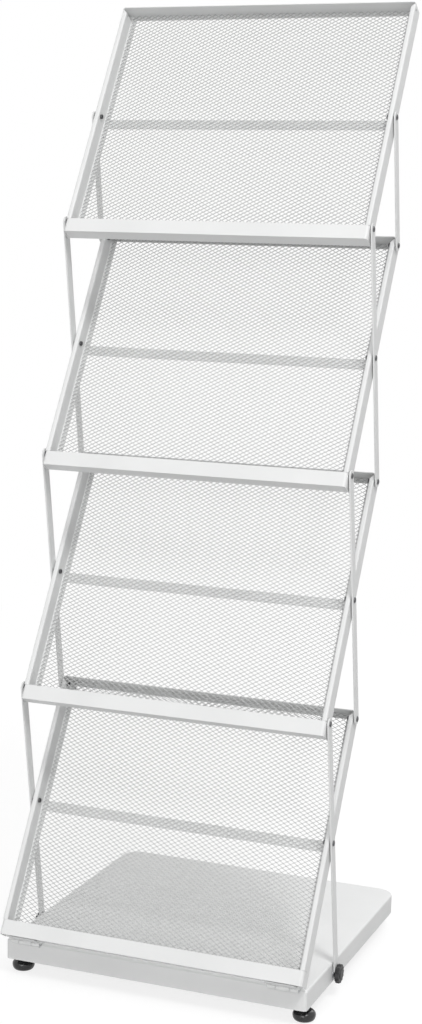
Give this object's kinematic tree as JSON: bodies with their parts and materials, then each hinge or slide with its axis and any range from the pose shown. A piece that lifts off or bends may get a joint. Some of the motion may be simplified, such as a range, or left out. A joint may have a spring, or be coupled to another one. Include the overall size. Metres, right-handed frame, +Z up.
{
  "type": "periodical display rack",
  "caption": "Folding floor-standing periodical rack: tilted white steel trays with mesh backs on scissor straps above a flat base with levelling feet",
  "frame": {"origin": "On the floor under the middle of the rack's bounding box", "axes": "+X to the right seen from the front, -Y towards the front, +Z up"},
  "size_m": [0.4946, 0.469, 1.4379],
  "materials": {
    "powder_coat": "satin",
    "zinc": "satin",
    "dark_steel": "satin",
    "black_plastic": "satin"
  },
  "bodies": {
    "base": {"base_plate": "powder_coat", "lock_washer_left": "zinc", "lock_washer_right": "zinc", "hinge_base_leaf_left": "powder_coat", "hinge_base_leaf_right": "powder_coat", "hinge_pin_left": "zinc", "hinge_pin_right": "zinc", "foot_nut_front_left": "zinc", "foot_nut_rear_left": "zinc", "foot_nut_front_right": "zinc", "foot_nut_rear_right": "zinc"},
    "tray_4": {"tray_frame_4": "powder_coat", "mesh_panel_4": "powder_coat", "cross_rail_4": "powder_coat", "rivet_middle_4_left": "dark_steel", "rivet_middle_4_right": "dark_steel", "rivet_top_4_left": "dark_steel", "rivet_top_4_right": "dark_steel", "hinge_tray_leaf_left": "powder_coat", "hinge_tray_leaf_right": "powder_coat"},
    "straps_4": {"strap_4_left": "powder_coat", "strap_4_right": "powder_coat"},
    "tray_3": {"tray_frame_3": "powder_coat", "mesh_panel_3": "powder_coat", "cross_rail_3": "powder_coat", "rivet_middle_3_left": "dark_steel", "rivet_middle_3_right": "dark_steel", "rivet_top_3_left": "dark_steel", "rivet_top_3_right": "dark_steel", "rivet_bottom_3_left": "dark_steel", "rivet_bottom_3_right": "dark_steel"},
    "straps_3": {"strap_3_left": "powder_coat", "strap_3_right": "powder_coat"},
    "tray_2": {"tray_frame_2": "powder_coat", "mesh_panel_2": "powder_coat", "cross_rail_2": "powder_coat", "rivet_middle_2_left": "dark_steel", "rivet_middle_2_right": "dark_steel", "rivet_top_2_left": "dark_steel", "rivet_top_2_right": "dark_steel", "rivet_bottom_2_left": "dark_steel", "rivet_bottom_2_right": "dark_steel"},
    "straps_2": {"strap_2_left": "powder_coat", "strap_2_right": "powder_coat"},
    "tray_1": {"tray_frame_1": "powder_coat", "mesh_panel_1": "powder_coat", "cross_rail_1": "powder_coat", "rivet_middle_1_left": "dark_steel", "rivet_middle_1_right": "dark_steel", "rivet_bottom_1_left": "dark_steel", "rivet_bottom_1_right": "dark_steel"},
    "straps_1": {"strap_1_left": "powder_coat", "strap_1_right": "powder_coat"},
    "lock_knob_left": {"lock_knob_left": "black_plastic"},
    "lock_knob_right": {"lock_knob_right": "black_plastic"},
    "levelling_foot_front_left": {"levelling_foot_front_left": "black_plastic"},
    "levelling_foot_rear_left": {"levelling_foot_rear_left": "black_plastic"},
    "levelling_foot_front_right": {"levelling_foot_front_right": "black_plastic"},
    "levelling_foot_rear_right": {"levelling_foot_rear_right": "black_plastic"}
  },
  "joints": [
    {"name": "fold", "type": "hinge", "parent": "base", "child": "tray_4", "pos_m": [0, -0.21452, 0.05555], "axis": [-1, 0, 0], "range_deg": [0, 54.8]},
    {"name": "straps_4_swing", "type": "hinge", "parent": "tray_4", "child": "straps_4", "pos_m": [0, -0.12247, 0.24371], "axis": [1, 0, 0], "range_deg": [0, 130.7]},
    {"name": "tray_3_swing", "type": "hinge", "parent": "straps_4", "child": "tray_3", "pos_m": [0, -0.15459, 0.4259], "axis": [-1, 0, 0], "range_deg": [0, 130.7]},
    {"name": "straps_3_swing", "type": "hinge", "parent": "tray_3", "child": "straps_3", "pos_m": [0, -0.05931, 0.58448], "axis": [1, 0, 0], "range_deg": [0, 130.7]},
    {"name": "tray_2_swing", "type": "hinge", "parent": "straps_3", "child": "tray_2", "pos_m": [0, -0.09143, 0.76667], "axis": [-1, 0, 0], "range_deg": [0, 130.7]},
    {"name": "straps_2_swing", "type": "hinge", "parent": "tray_2", "child": "straps_2", "pos_m": [0, 0.00385, 0.92524], "axis": [1, 0, 0], "range_deg": [0, 130.7]},
    {"name": "tray_1_swing", "type": "hinge", "parent": "straps_2", "child": "tray_1", "pos_m": [0, -0.02828, 1.10743], "axis": [-1, 0, 0], "range_deg": [0, 130.7]},
    {"name": "straps_1_swing", "type": "hinge", "parent": "tray_1", "child": "straps_1", "pos_m": [0, 0.06701, 1.26601], "axis": [1, 0, 0], "range_deg": [0, 130.7]},
    {"name": "lock_knob_left_turn", "type": "hinge", "parent": "base", "child": "lock_knob_left", "pos_m": [-0.235, -0.08584, 0.036], "axis": [-1, 0, 0], "continuous": true},
    {"name": "lock_knob_right_turn", "type": "hinge", "parent": "base", "child": "lock_knob_right", "pos_m": [0.235, -0.08584, 0.036], "axis": [1, 0, 0], "continuous": true},
    {"name": "levelling_foot_front_left_turn", "type": "hinge", "parent": "base", "child": "levelling_foot_front_left", "pos_m": [-0.222, -0.17952, 0], "axis": [0, 0, 1], "continuous": true},
    {"name": "levelling_foot_rear_left_turn", "type": "hinge", "parent": "base", "child": "levelling_foot_rear_left", "pos_m": [-0.19, 0.18948, 0], "axis": [0, 0, 1], "continuous": true},
    {"name": "levelling_foot_front_right_turn", "type": "hinge", "parent": "base", "child": "levelling_foot_front_right", "pos_m": [0.222, -0.17952, 0], "axis": [0, 0, 1], "continuous": true},
    {"name": "levelling_foot_rear_right_turn", "type": "hinge", "parent": "base", "child": "levelling_foot_rear_right", "pos_m": [0.19, 0.18948, 0], "axis": [0, 0, 1], "continuous": true}
  ],
  "couplings": [
    {"joint": "straps_4_swing", "follows": "fold", "ratio": 2.3832},
    {"joint": "tray_3_swing", "follows": "fold", "ratio": 2.3832},
    {"joint": "straps_3_swing", "follows": "fold", "ratio": 2.3832},
    {"joint": "tray_2_swing", "follows": "fold", "ratio": 2.3832},
    {"joint": "straps_2_swing", "follows": "fold", "ratio": 2.3832},
    {"joint": "tray_1_swing", "follows": "fold", "ratio": 2.3832},
    {"joint": "straps_1_swing", "follows": "fold", "ratio": 2.3832}
  ]
}
